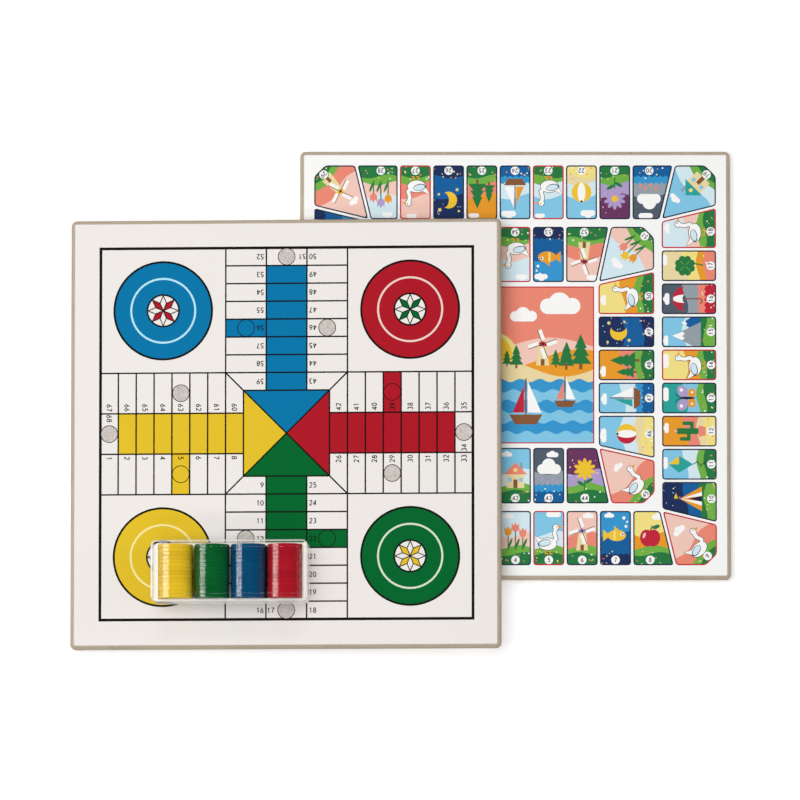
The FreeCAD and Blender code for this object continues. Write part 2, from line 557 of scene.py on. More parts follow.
def home(player, petal_ink):
    """The round home of one player, with a pale ring and a rosette."""
    circles = [
        ("line_black", HOME_RADIUS), (player, HOME_RADIUS - HOME_LINE),
        ("pale_" + player, RING_RADIUS + RING_LINE / 2), (player, RING_RADIUS - RING_LINE / 2),
        ("line_black", HUB_RADIUS), ("parcheesi_white", HUB_RADIUS - HUB_LINE),
    ]
    return [(ink, disc(radius)) for ink, radius in circles] + rosette(petal_ink)


print(len(home("blue", "red")), "shapes in a home")

# %% The whole parcheesi face
SHEET_CORNER = 1.2
OFF_CENTRE = (0.7, 0.3)


def parcheesi_face():
    """Every shape of the print, in painter's order. It lies a little off the sheet's middle."""
    shapes = [
        ("line_black", square(FRAME_HALF + FRAME_LINE / 2)),
        ("parcheesi_white", square(FRAME_HALF - FRAME_LINE / 2)),
    ]
    home_at = (arm_half + FRAME_HALF) / 2
    marks = []
    for quarter, player in enumerate(PLAYERS):
        turn = 90 * quarter
        triangle = [(0, 0), (-CENTRE_HALF, -CENTRE_HALF), (CENTRE_HALF, -CENTRE_HALF)]
        shapes += put([(player, triangle)] + arm_areas(player), (0, 0), turn)
        shapes += put(home(player, PLAYERS[quarter - 1]), moved([(home_at, -home_at)], (0, 0), turn)[0])
        diagonal = stroke([(0, 0), (arm_half, -arm_half)], THIN_LINE)
        marks += put(arm_lines() + [("line_black", diagonal)], (0, 0), turn)
    for quarter, player in enumerate(PLAYERS):
        first = FIRST_NUMBER + quarter * ARM_CELLS
        marks += put(arm_marks(first, player), (0, 0), 90 * quarter)
    paper = [("parcheesi_white", rounded(square(sheet_side / 2), SHEET_CORNER))]
    return paper + put(shapes + marks, OFF_CENTRE)


parcheesi_shapes = parcheesi_face()
print(len(parcheesi_shapes), "shapes on the parcheesi face")

# %% [markdown]
# ## The goose face
# The goose track is a spiral of 63 cells in two square rings about a picture. Each cell is a small card
# with a rounded outline, a picture and a number. Drawing 63 pictures by hand would be long, so a few
# plain motifs in flat inks are combined with a sky, a ground and an accent colour. The goose cells of
# the old game keep a goose.

# %% Cells of the track
CELL_PITCH = 25.5
CELL_GAP = 1.75
CELL_LINE = 1.0
CELL_CORNER = 2.6
KITE_CUT = 9.0
OUTER_RING = (111.5, 155.0, 7)
INNER_RING = (63.0, 107.5, 3)


def side_cells(inner, outer, straight):
    """The bottom side of a ring, left to right, and the corner at its end: outline and tilt of each."""
    run = straight * CELL_PITCH / 2
    fan = (run + outer) / 2
    cells = [([(-inner, -inner), (-fan, -outer), (-run, -outer), (-run, -inner)], 0)]
    for i in range(straight):
        left = i * CELL_PITCH - run
        cells.append((bar(left, -outer, left + CELL_PITCH, -inner), 0))
    cells.append(([(run, -inner), (run, -outer), (fan, -outer), (inner, -inner)], 0))
    cut = outer - KITE_CUT
    cells.append(([(inner, -inner), (fan, -outer), (cut, -outer), (outer, -cut), (outer, -fan)], 45))
    return cells


def ring_cells(inner, outer, straight):
    """A ring's cells, anticlockwise: outline about its own middle, place and turn of each."""
    cells = []
    for quarter in range(4):
        for outline, tilt in side_cells(inner, outer, straight):
            middle = sum((Vector(p) for p in outline), Vector((0, 0))) / len(outline)
            own = moved(moved(outline, -middle), (0, 0), -tilt)
            cells.append((own, moved([middle], (0, 0), 90 * quarter)[0], 90 * quarter + tilt))
    return cells


goose_cells = ring_cells(*OUTER_RING) + ring_cells(*INNER_RING)
print(len(goose_cells), "cells, the first of them the start")

# %% [markdown]
# The motifs stand about the middle of a cell, 24 mm wide and 42 mm high, on ground that starts a little
# under the middle. Each is a handful of flat shapes, and takes one accent ink so that the same motif
# comes back in another colour.

# %% Motifs of the water
def shape_counts(*motifs):
    """How many shapes each motif has."""
    return {motif.__name__: len(motif("sun")) for motif in motifs}


def sailboat(accent):
    return [
        ("bark", bar(-0.4, -6, 0.4, 13)),
        ("goose_white", [(0.9, -4.5), (8, -4.5), (0.9, 12)]),
        (accent, [(-0.9, -4.5), (-0.9, 9.5), (-6.8, -4.5)]),
        ("bark", [(-8.5, -5.5), (-5.5, -10.5), (5.5, -10.5), (8.5, -5.5)]),
    ]


def fish(accent):
    bubbles = [(1.1, 8, 9), (0.8, 9, 12.5), (1.3, 6.5, 15.5)]
    return [("goose_white", disc(*bubble)) for bubble in bubbles] + [
        (accent, [(-4, 2), (-9.5, 6.5), (-9.5, -2.5)]),
        (accent, [(-1, 5), (4, 5), (-1, 9.5)]),
        (accent, oval(1, 2, 7, 4.3)),
        ("lemon", bar(-1.6, -1.7, 0, 5.7)),
        ("goose_white", disc(1.3, 5, 3)),
        ("outline_navy", disc(0.7, 5.3, 3)),
    ]


def rain_cloud(accent):
    drops = [(accent, oval(x, y, 0.8, 1.9, -20)) for x, y in ((-5, -3), (-1, -5.5), (3, -3), (6.5, -5))]
    puffs = [disc(3.8, -5, 5), disc(5.2, 0, 8), disc(3.9, 5.5, 5), bar(-5, 1.3, 5.5, 6)]
    return drops + [("goose_white", puff) for puff in puffs]


def beach_ball(accent):
    left = arc(0, 0, 7.6, 7.6, 90, 270, 16) + arc(0, 0, 3, 7.6, 270, 90, 12)
    right = arc(0, 0, 7.6, 7.6, -90, 90, 16) + arc(0, 0, 3, 7.6, 90, -90, 12)
    return [("goose_white", disc(7.6)), (accent, left), ("sun", right), ("outline_navy", disc(0.9, 0, 7))]


print(shape_counts(sailboat, fish, rain_cloud, beach_ball))


# %% Motifs of the sky
def star(radius, x, y):
    """A star of five points."""
    return [moved([(radius if i % 2 else radius * 0.42, 0)], (x, y), 54 + 36 * i)[0] for i in range(10)]


def moon_and_stars(accent):
    moon = arc(0, 6, 6.5, 6.5, 60, 300, 20) + arc(3.2, 6, 3.4, 5.6, 270, 90, 16)
    places = ((1.7, -6.5, -2), (1.9, 6.8, 13.5), (1.3, -7.8, 14.5), (1.4, 7.6, 1.5))
    return [("sun", moon)] + [("lemon", star(*place)) for place in places]


def kite(accent):
    tail = [(0, -3), (2.2, -6), (-1.4, -8.8), (1.6, -11.4), (-1.8, -14)]
    return [
        ("outline_navy", stroke(tail, 0.6)),
        (accent, [(0, 16), (-6.5, 8), (0, 8)]), ("sun", [(0, 16), (0, 8), (6.5, 8)]),
        ("teal", [(-6.5, 8), (0, -3), (0, 8)]), (accent, [(0, 8), (0, -3), (6.5, 8)]),
    ]


def umbrella(accent):
    canopy = arc(0, 3, 9.5, 9.5, 0, 180, 24)
    for x in (-6.33, 0, 6.33):
        canopy += arc(x, 3, 3.17, 2, 180, 0, 8)
    gore = arc(0, 3, 3.17, 9.5, 0, 180, 16) + arc(0, 3, 3.17, 2, 180, 0, 8)
    hook = [(0, 12), (0, -8), *arc(-1.8, -8, 1.8, 2, 0, -170, 8)]
    tip = bar(-0.4, 12, 0.4, 14)
    return [("bark", stroke(hook, 0.9)), (accent, canopy), ("goose_white", gore), ("bark", tip)]


def butterfly(accent):
    shapes = []
    for side in (-1, 1):
        shapes += [
            (accent, oval(side * 5, 5, 5.2, 3.8, side * 35)),
            ("amber", oval(side * 3.8, -2, 3.6, 3)),
            ("goose_white", disc(1.3, side * 6.2, 6)),
            ("goose_white", disc(0.9, side * 4.4, -2.2)),
            ("outline_navy", stroke([(0, 6), (side * 1.4, 9), (side * 3.4, 10.5)], 0.5)),
        ]
    return shapes + [("outline_navy", oval(0, 1.5, 1, 6))]


print(shape_counts(moon_and_stars, kite, umbrella, butterfly))


# %% Motifs of the garden
def tulips(accent):
    cup = arc(0, 3, 2.8, 3.4, 180, 360, 10)
    cup += [(2.8, 6.6), (1.4, 4.6), (0, 7.2), (-1.4, 4.6), (-2.8, 6.6)]
    shapes = []
    for x, top, ink in ((-5.6, 2, "amber"), (5.6, 1, "coral"), (0, 5, accent)):
        shapes += [
            ("pine", bar(x - 0.45, -9, x + 0.45, top + 1)),
            ("pine", oval(x + 1.6, -4, 0.9, 4, -22)),
            (ink, moved(cup, (x, top))),
        ]
    return shapes


def apple(accent):
    return [
        ("bark", stroke([(0, 4), (0.6, 7), (1.8, 9.6)], 1.1)),
        ("pine", oval(4.6, 8.6, 3, 1.5, 22)),
        (accent, oval(-2.5, 0, 5.2, 6.6, 8)),
        (accent, oval(2.5, 0, 5.2, 6.6, -8)),
        ("blush", oval(-4.6, 2, 1, 2.3, -20)),
    ]


def clover(accent):
    shapes = [("pine", stroke([(0, 2), (1.6, -5), (0.4, -11)], 1))]
    lobes = [disc(2.6, -2.1, 5), disc(2.6, 2.1, 5), [(-4.5, 4.2), (0, 0), (4.5, 4.2)]]
    leaf = [("pine", lobe) for lobe in lobes] + [("meadow", stroke([(0, 1.2), (0, 5)], 0.5))]
    for turn in (45, 135, 225, 315):
        shapes += put(leaf, (0, 3), turn)
    return shapes


def daisy(accent):
    stem = [bar(-0.5, -11, 0.5, 4), oval(3.2, -4, 3.4, 1.3, 30), oval(-3, -6, 3.2, 1.3, 150)]
    petals = [(accent, moved(oval(0, 5, 1.55, 3.4), (0, 5), turn)) for turn in range(0, 360, 36)]
    return [("pine", part) for part in stem] + petals + [("sun", disc(2.5, 0, 5))]


def cactus(accent):
    pot = [(-4.4, -7), (-3.2, -12.5), (3.2, -12.5), (4.4, -7)]
    shapes = [(accent, pot), ("pine", bar(-2.3, -7, 2.3, 8)), ("pine", disc(2.3, 0, 8))]
    for side, low_end, high_end in ((-1, 0.5, 6), (1, -2, 4)):
        branch = [(side * 1.5, low_end), (side * 6, low_end), (side * 6, high_end)]
        shapes += [("pine", stroke(branch, 2.8)), ("pine", disc(1.4, side * 6, high_end))]
    return shapes + [(accent, disc(1.5, 0, 10.6)), ("lemon", disc(0.7, 0, 10.6))]


print(shape_counts(tulips, apple, clover, daisy, cactus))


# %% Motifs of the land
def fir_trees(accent):
    shapes = []
    for x, foot, size in ((-5.5, -8, 0.8), (3.5, -10, 1.15)):
        tree = [("bark", bar(-0.9, 0, 0.9, 4))]
        for tier in range(3):
            half, base = 6 - 1.3 * tier, 3 + 4.4 * tier
            tree.append(("pine", [(-half, base), (half, base), (0, base + 8)]))
        shapes += put(tree, (x, foot), 0, size)
    return shapes


def windmill(accent):
    shapes = [
        ("sand", [(-4.6, -9.5), (4.6, -9.5), (2.8, 4), (-2.8, 4)]),
        (accent, arc(0, 4, 3.3, 3.4, 0, 180)),
        ("bark", bar(-1.3, -9.5, 1.3, -5)),
    ]
    sail = [("bark", bar(-0.3, 0, 0.3, 10.5)), ("goose_white", bar(0.3, 2.5, 2.8, 10))]
    for turn in (20, 110, 200, 290):
        shapes += put(sail, (0, 5.5), turn)
    return shapes + [("outline_navy", disc(0.9, 0, 5.5))]


def tent(accent):
    stripes = [("goose_white", [(x, -9.5), (x + 3, -9.5), (0, 7)]) for x in (-5.2, 2.2)]
    return [
        ("bark", bar(-0.3, 6, 0.3, 12)),
        ("sun", [(0.3, 12), (0.3, 8.8), (4.4, 10.4)]),
        (accent, [(-9.5, -9.5), (9.5, -9.5), (0, 7.5)]),
        *stripes,
        ("outline_navy", [(-2.2, -9.5), (2.2, -9.5), (0, 1)]),
    ]


def cottage(accent):
    panes = [("sky", bar(x, -4.6, x + 2.6, -1.6)) for x in (-5.4, 2.8)]
    return [
        ("stone", bar(3.4, 3, 5.6, 10)),
        ("sand", bar(-6.8, -9.5, 6.8, 1)),
        (accent, [(-9, 1), (9, 1), (0, 10)]),
        *panes,
        ("bark", bar(-1.6, -9.5, 1.6, -3)),
        ("lemon", disc(1.5, 0, 4.3)),
    ]


def snow_peaks(accent):
    return [
        ("deep_sea", [(-2, -9), (15, -9), (7, 6)]),
        ("stone", [(-14, -9), (7.5, -9), (-3, 13)]),
        ("goose_white", [(-6.6, 5), (-4.6, 3.4), (-3.4, 5.4), (-1.6, 3.2), (0.2, 5), (-3, 13)]),
        ("goose_white", [(5, 2.4), (6.4, 1.4), (7.4, 2.8), (8.8, 2.6), (7, 6)]),
    ]


print(shape_counts(fir_trees, windmill, tent, cottage, snow_peaks))


# %% The goose
GOOSE_OUTLINE = 0.42


def goose_body(ink, grow):
    """A plain goose that walks to the right. The same form, grown a little, makes its outline."""
    tail = inset([(-11, 1.6), (-6.4, -6.4), (-1, -3)], -grow)
    body = oval(-1, -4.6, 7 + grow, 4.6 + grow)
    neck = stroke([(2.6, -4), (5.6, -0.6), (4.4, 3.4), (5.2, 8)], 2.7 + 2 * grow)
    head = disc(2.2 + grow, 5.5, 8.4)
    return [(ink, part) for part in (tail, body, neck, head)]


def goose(accent):
    legs = [("amber", stroke([(x, -8), (x, -12), (x + 2, -12)], 0.9)) for x in (-2.6, 1)]
    wing = [("outline_navy", oval(-3.2, -3.8, 4.9, 2.7, 12)), ("cloud", oval(-3, -3.7, 4.4, 2.2, 12))]
    head = [("amber", [(7.2, 9.4), (7.2, 7.2), (11, 8)]), ("outline_navy", disc(0.45, 6.1, 9))]
    return legs + goose_body("outline_navy", GOOSE_OUTLINE) + goose_body("goose_white", 0) + wing + head


print(len(goose("sun")), "shapes in a goose")

# %% Ground and pictures
WAVE_LENGTH = 4.2
GROUND_TOP = -7.0
FAR = 40


def hills(x):
    return GROUND_TOP + 1.7 * math.sin(x / 5 + 1)


def waves(x):
    return GROUND_TOP + 0.7 * math.sin(2 * math.pi * x / WAVE_LENGTH)


def ground(profile, half=FAR, foot=-FAR, step=0.7):
    """The area under a profile."""
    count = int(half / step)
    crest = [(i * step, profile(i * step)) for i in range(count, -count - 1, -1)]
    return [(-half, foot), (half, foot), *crest]


ACCENTS = ("crimson", "amber", "teal", "coral", "lilac", "sun")
PICTURES = [
    (sailboat, "sky", "sea", waves),
    (fir_trees, "amber", "meadow", hills),
    (moon_and_stars, "night", "deep_sea", hills),
    (tulips, "cloud", "meadow", hills),
    (windmill, "blush", "meadow", hills),
    (fish, "sea", "deep_sea", waves),
    (apple, "lemon", "meadow", hills),
    (tent, "night", "pine", hills),
    (kite, "sky", "meadow", hills),
    (cactus, "amber", "sand", hills),
    (butterfly, "teal", "meadow", hills),
    (snow_peaks, "sky", "pine", hills),
    (umbrella, "slate", "coral", waves),
    (clover, "sand", "amber", hills),
    (cottage, "sky", "meadow", hills),
    (rain_cloud, "slate", "sea", waves),
    (daisy, "plum", "meadow", hills),
    (beach_ball, "sky", "sand", hills),
]
GOOSE_CELLS = (5, 9, 14, 18, 23, 27, 32, 36, 41, 45, 50, 54, 59, 63)
GOOSE_SKIES = ("sky", "blush", "lemon", "cloud")
print(len(PICTURES), "pictures and", len(GOOSE_CELLS), "geese")

# %% Skies and flowers
SECOND_TONES = {
    "sky": "cloud", "cloud": "blush", "blush": "coral", "lemon": "amber", "amber": "coral",
    "coral": "crimson", "sand": "lemon", "teal": "sky", "slate": "stone", "plum": "lilac",
    "night": "deep_sea", "sea": "deep_sea", "deep_sea": "night", "meadow": "pine", "pine": "meadow",
}
DARK_SKIES = ("night", "plum")
STARS = 12
FLOWERS = 9


def cloud_shape(x, y, size):
    """A flat-footed cloud of three puffs."""
    puffs = [disc(4, -6, 3.5), disc(5.6, 0, 5), disc(4.2, 6.5, 3.6), bar(-6.5, -0.5, 7, 5)]
    return put([("goose_white", puff) for puff in puffs], (x, y), 0, size)


def landscape(sky, land, profile, seed):
    """Sky with a second tone low down and a cloud or stars, then ground with a nearer rise and flowers."""
    draw = random.Random(seed)
    shift = draw.uniform(-9, 9)
    low_sky = ground(lambda x: 3 + 2.4 * math.sin((x + shift) / 6))
    near_rise = ground(lambda x: profile(x + shift) * 0.9 - 6)
    shapes = [(sky, square(FAR)), (SECOND_TONES[sky], low_sky)]
    if sky in DARK_SKIES:
        for each in range(STARS):
            point = disc(draw.uniform(0.25, 0.5), draw.uniform(-12, 12), draw.uniform(-2, 20))
            shapes.append(("goose_white", point))
    else:
        shapes += cloud_shape(draw.uniform(-7, 7), draw.uniform(14, 17), draw.uniform(0.35, 0.55))
    shapes += [(land, ground(profile)), (SECOND_TONES[land], near_rise)]
    for each in range(FLOWERS):
        at = (draw.uniform(-12, 12), draw.uniform(-20, -10))
        ink = draw.choice(("lemon", "goose_white", "coral"))
        shapes.append((ink, disc(draw.uniform(0.35, 0.7), *at)))
    return shapes


print(len(landscape("sky", "meadow", hills, 1)), "shapes behind a motif")


# %% One cell
SPOT_IN_CELL = 3.3
SPOT_RISE = 5.0
SPOT_NUMBER = 3.5
START_ARROW = [(-8, -2), (0.5, -2), (0.5, -6), (8.5, 0.5), (0.5, 7), (0.5, 3), (-8, 3)]


def cell_picture(slot):
    """Sky, ground and motif of a cell, before they are clipped to it."""
    if slot == 0:
        return [("sun", square(FAR)), ("crimson", START_ARROW)]
    if slot in GOOSE_CELLS:
        sky = GOOSE_SKIES[GOOSE_CELLS.index(slot) % len(GOOSE_SKIES)]
        return landscape(sky, "meadow", hills, slot) + goose("sun")
    turn = slot - sum(1 for cell in GOOSE_CELLS if cell < slot) - 1
    motif, sky, land, profile = PICTURES[turn % len(PICTURES)]
    accent = ACCENTS[(turn + turn // len(PICTURES)) % len(ACCENTS)]
    return landscape(sky, land, profile, slot) + motif(accent)


def clipped(shapes, window):
    """The parts of shapes that lie inside a window."""
    cut = [(ink, clip(points, window)) for ink, points in shapes]
    return [(ink, points) for ink, points in cut if len(points) > 2]


def cell_card(slot, outline):
    """One cell about its own middle: its line, its picture inside that, and its number."""
    line = "crimson" if slot in GOOSE_CELLS else "outline_navy"
    card = (line, rounded(inset(outline, CELL_GAP / 2), CELL_CORNER))
    window = rounded(inset(outline, CELL_GAP / 2 + CELL_LINE), CELL_CORNER - CELL_LINE)
    picture = cell_picture(slot)
    if slot:
        foot = min(y for x, y in outline) + SPOT_RISE
        picture.append(("goose_white", disc(SPOT_IN_CELL, 0, foot)))
        picture += number(slot, "outline_navy", SPOT_NUMBER, (0, foot))
    return [card] + clipped(picture, window)


print(len(cell_card(1, goose_cells[1][0])), "shapes in cell 1")

# %% The picture in the middle
MIDDLE_HALF = 60.5
MIDDLE_LINE = 0.9


def middle_picture():
    """A bay at sunset: coral sky, sand hills, blue water and three sails."""
    wide = FAR * 2
    shapes = [
        ("coral", square(wide)),
        ("blush", ground(lambda x: 16 + 5 * math.sin(x / 17), wide)),
        ("lemon", disc(17, -16, 8)),
        ("sun", disc(13.5, -16, 8)),
    ]
    shapes += cloud_shape(34, 40, 1.5) + cloud_shape(6, 34, 1) + cloud_shape(-38, 42, 1.3)
    shapes.append(("amber", ground(lambda x: 4 + 8 * math.sin(x / 20 - 0.9), wide)))
    shapes.append(("sand", ground(lambda x: -3 + 6 * math.sin(x / 15 + 2.2), wide)))
    for x, y, size in ((36, -2, 0.9), (46, -1, 1.2), (-2, -1, 0.8)):
        shapes += put(fir_trees("sun"), (x, y + 8 * size), 0, size)
    shapes += put(windmill("crimson"), (21, 10), 0, 1.1)
    for row in range(6):
        height = -12 - 8 * row
        ink = ("sea", "sky")[row % 2]
        shapes.append((ink, ground(lambda x: height + 1.3 * math.sin(x / 2.4 + 2.1 * row), wide, -wide)))
    for x, y, size, accent in ((38, -22, 1.0, "coral"), (8, -30, 1.5, "crimson"), (-34, -24, 1.2, "amber")):
        shapes += put(sailboat(accent), (x, y), 0, size)
    return [("crimson", square(MIDDLE_HALF))] + clipped(shapes, square(MIDDLE_HALF - MIDDLE_LINE))


print(len(middle_picture()), "shapes in the middle picture")


# %% The whole goose face
def goose_face():
    """Every shape of the goose print, in painter's order."""
    shapes = [("goose_white", rounded(square(sheet_side / 2), SHEET_CORNER))]
    for slot, (outline, place, turn) in enumerate(goose_cells):
        shapes += put(cell_card(slot, outline), place, turn)
    return shapes + middle_picture()


goose_shapes = goose_face()
print(len(goose_shapes), "shapes on the goose face")

# %% [markdown]
# ## Ink and film
# The sheets are paper printed in offset inks, under a thin satin film that is rolled on with a fine
# grain. Each ink is one material of one even colour, as on the press, and all share the film: its gloss
# wavers a little and its grain is a bump. The colour is set on the shader itself, so it stays sharp
# when the model is exported.

# %% Ink materials
FILM_GRAIN = 1.1
FILM_GRAIN_HEIGHT = 0.012
FILM_WAVER = 34.0
FILM_ROUGHNESS = (0.27, 0.30)
FILM_IOR = 1.5

INKS = {
    "parcheesi_white": "#F3EEEA", "line_black": "#15130F",
    "blue": "#0878AC", "red": "#B21A29", "green": "#04682F", "yellow": "#E8C42E",
    "pale_blue": "#BDEBFB", "pale_red": "#F4D9CF", "pale_green": "#DDE8D2", "pale_yellow": "#FBEFA6",
    "spot_grey": "#CFC8C1", "fleck_dark": "#B3ABA4", "fleck_pale": "#E2DCD6",
    "goose_white": "#FEFEFC", "outline_navy": "#232B45", "crimson": "#C52B40", "cloud": "#D9EEF6",
    "sky": "#86CBEA", "sea": "#3A9AD2", "deep_sea": "#1D62A0", "night": "#22345F", "meadow": "#74B54A",
    "pine": "#2C7C45", "lemon": "#F8E58A", "sun": "#F5C836", "amber": "#EE9F2F", "coral": "#F08D78",
    "blush": "#F7CDBF", "sand": "#F0DDA8", "bark": "#8A5B3C", "stone": "#99A3AC", "lilac": "#B49FCE",
    "teal": "#30A69E", "plum": "#6E3A63", "slate": "#55606E",
}


def printed_ink(name, code):
    """Offset ink under satin film: even colour, a soft gloss and a fine rolled grain."""
    material, tree, surface = new_material("satin_film_over_" + name + "_ink")
    place = object_place(tree)
    film = principled(tree, {
        "Base Color": linear(code), "IOR": FILM_IOR,
        "Roughness": spread(tree, noise(tree, place, FILM_WAVER), FILM_ROUGHNESS),
        "Normal": bump(tree, noise(tree, place, FILM_GRAIN, detail=1.0), FILM_GRAIN_HEIGHT),
    })
    tree.links.new(film, surface)
    return material


ink_materials = {name: printed_ink(name, code) for name, code in INKS.items()}
print(len(ink_materials), "inks")

# %% [markdown]
# ## From shapes to a sheet
# The shapes overlap, but a sheet has one surface. A constrained triangulation cuts the plane along
# every outline and says which shapes lie over each triangle, and the last one painted gives its ink.
# The sheet then gets its sides and its back, so it is a closed slab as thick as the real laminate. Each
# face is cut once and used on both boards.

# %% Cut a face into inked triangles
CUT_PRECISION = 1e-4


def anticlockwise(points):
    """The outline, turned round if it runs clockwise."""
    area = sum(a[0] * b[1] - a[1] * b[0] for a, b in zip(points, points[1:] + points[:1]))
    return points if area > 0 else points[::-1]


def cut_face(shapes):
    """Points, triangles and the ink of each triangle."""
    corners, outlines = [], []
    for ink, points in shapes:
        outlines.append(list(range(len(corners), len(corners) + len(points))))
        corners += [Vector(p) for p in anticlockwise(points)]
    points, _, triangles, _, _, sources = delaunay_2d_cdt(corners, [], outlines, 1, CUT_PRECISION, True)
    return points, triangles, [shapes[max(source)][0] for source in sources]


cut_faces = {"parcheesi": cut_face(parcheesi_shapes), "goose": cut_face(goose_shapes)}
print({name: len(cut[1]) for name, cut in cut_faces.items()}, "triangles")


# %% Build the four sheets
def new_piece(name, mesh, body, nodes):
    """Links a mesh as a piece that rides on a body and stands for CAD nodes."""
    piece = bpy.data.objects.new(name, mesh)
    bpy.context.scene.collection.objects.link(piece)
    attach(piece, body)
    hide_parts(*nodes)
    return piece


def sheet_mesh(name, cut, paper, place):
    """A closed slab with the print on its upper side, put in its place."""
    points, triangles, inks = cut
    half = sheet_thickness / 2
    edges = {(t[i - 1], t[i]) for t in triangles for i in range(3)}
    rim = dict(edge for edge in edges if edge[::-1] not in edges)
    ring = [next(iter(rim))]
    while rim[ring[-1]] != ring[0]:
        ring.append(rim[ring[-1]])
    below = {corner: len(points) + i for i, corner in enumerate(ring)}
    verts = [(p.x, p.y, half) for p in points] + [(points[c].x, points[c].y, -half) for c in ring]
    sides = [(b, a, below[a], below[b]) for a, b in rim.items()]
    mesh = bpy.data.meshes.new(name)
    mesh.from_pydata(verts, [], [*triangles, *sides, [below[c] for c in reversed(ring)]])
    used = sorted(set(inks))
    for ink in used:
        mesh.materials.append(ink_materials[ink])
    slots = [used.index(ink) for ink in inks] + [used.index(paper)] * (len(sides) + 1)
    mesh.polygons.foreach_set("material_index", slots)
    mesh.transform(place @ Matrix.Scale(MM, 4))
    mesh.update()
    return mesh


SHEETS = [
    ("upper_board", "parcheesi", lean), ("upper_board", "goose", lean @ face_down),
    ("lower_board", "goose", flat), ("lower_board", "parcheesi", face_down),
]
for body, print_name, turn in SHEETS:
    node = f"{body}_{print_name}_sheet"
    low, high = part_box(node)
    place = Matrix.Translation((low + high) / 2) @ turn
    name = f"{body}_{print_name}_print"
    mesh = sheet_mesh(name, cut_faces[print_name], print_name + "_white", place)
    new_piece(name, mesh, body, [node])
    print(name, len(mesh.polygons), "faces")

# %% [markdown]
# ## Fibreboard cores
# Between the sheets is a square of medium-density fibreboard: wood fibres pressed with resin, routed
# round the edge and sealed. To the eye it is an even beige with short fibres and a dull sheen. The CAD
# solid already has the right shape, so it stays and only gets this finish.

# %% Fibreboard
FIBRE_LENGTH = 1.6
FIBRE_WIDTH = 0.35
FIBRE_HEIGHT = 0.04
CLOUDING = 24.0
CLOUD_SHARE = 0.5
CORE_TONES = ((0.45, "#AB9C87"), (0.95, "#C0B29F"))
CORE_ROUGHNESS = (0.5, 0.72)


def fibreboard():
    """Medium-density fibreboard, routed and sealed: beige, short fibres, soft clouding, dull."""
    material, tree, surface = new_material("sealed_medium_density_fibreboard")
    place = object_place(tree)
    stretched = add_node(tree, "ShaderNodeMapping", {
        "Vector": place, "Scale": [1 / size for size in (FIBRE_LENGTH, FIBRE_LENGTH, FIBRE_WIDTH)],
    })
    fibres = noise(tree, stretched.outputs["Vector"], grain=1.0, detail=3.0)
    tone = calculate(tree, "MULTIPLY_ADD", noise(tree, place, CLOUDING), CLOUD_SHARE, fibres)
    board = principled(tree, {
        "Base Color": tones(tree, tone, [(position, linear(code)) for position, code in CORE_TONES]),
        "Roughness": spread(tree, fibres, CORE_ROUGHNESS), "Specular IOR Level": 0.25,
        "Normal": bump(tree, fibres, FIBRE_HEIGHT, strength=0.7),
    })
    tree.links.new(board, surface)
    return material


def dress(node, material):
    """Gives a CAD node's object a finish. Its mesh stays as it is."""
    slots = frame["nodes"][node].data.materials
    slots.clear()
    slots.append(material)


core_finish = fibreboard()
for board in ("lower_board", "upper_board"):
    dress(board + "_core", core_finish)
print("cores in", core_finish.name)

# %% [markdown]
# ## Counters
# A counter is a moulded disc with a rounded rim and a shallow ring on each face. Fourteen of one colour
# lie on their sides in each cradle of the tray. What repeats along a line is a job for Geometry Nodes:
# one counter goes in, and the tree sets it out along the stack, a touch out of line as loose counters
# are. A random number is kept with each counter, so that the plastic can vary in shade from one to the
# next.

# %% Profile of a counter
RIM_ROUND = 0.2
RIM_BAND = 0.05
FACE_RECESS = 0.3
RECESS_RADIUS = 10.6
RING_INNER = 4.2
RING_OUTER = 5.6
RECESS_SLOPE = 0.3
AROUND = 56
CREASE_ANGLE = 35

counter_low, counter_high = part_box("yellow_counter_01")
counter_radius = (counter_high.x - counter_low.x) / 2 / MM
counter_thickness = (counter_high.y - counter_low.y) / MM


def counter_profile():
    """Radius and height of one half of a counter, from the middle of its face to its rim."""
    top = counter_thickness / 2
    floor = top - FACE_RECESS
    ring = [
        (RING_INNER - RECESS_SLOPE, floor), (RING_INNER, top),
        (RING_OUTER, top), (RING_OUTER + RECESS_SLOPE, floor),
    ]
    edge = arc(counter_radius - RIM_ROUND, top - RIM_ROUND, RIM_ROUND, RIM_ROUND, 90, 0, 4)
    edge.append((counter_radius, top - RIM_ROUND - RIM_BAND))
    return [(0, floor), *ring, (RECESS_RADIUS, floor), (RECESS_RADIUS + RECESS_SLOPE, top), *edge]


def counter_mesh(plastic):
    """The profile and its mirror turned about Y, as one closed mesh in metres."""
    half = counter_profile()
    profile = half + [(r, -y) for r, y in reversed(half)]
    verts, rings, faces = [], [], []
    for r, y in profile:
        count = AROUND if r else 1
        rings.append([len(verts) + i for i in range(count)])
        turns = [2 * math.pi * i / count for i in range(count)]
        verts += [(MM * r * math.sin(a), MM * y, MM * r * math.cos(a)) for a in turns]
    for inner, outer in zip(rings, rings[1:]):
        for i in range(AROUND):
            j = (i + 1) % AROUND
            face = [ring[k % len(ring)] for ring, k in ((inner, i), (outer, i), (outer, j), (inner, j))]
            faces.append(list(dict.fromkeys(face)))
    mesh = bpy.data.meshes.new("counter")
    mesh.from_pydata(verts, [], faces)
    mesh.polygons.foreach_set("use_smooth", [True] * len(faces))
    mesh.set_sharp_from_angle(angle=math.radians(CREASE_ANGLE))
    mesh.materials.append(plastic)
    return mesh


print(f"counter {counter_radius * 2:.1f} x {counter_thickness:.1f} mm, {AROUND} sides")

# %% Node tree of a stack
STACK_INPUTS = {
    "Count": "NodeSocketInt", "Start": "NodeSocketVector", "Step": "NodeSocketVector",
    "Slack": "NodeSocketVector", "Seed": "NodeSocketInt", "Plastic": "NodeSocketMaterial",
}


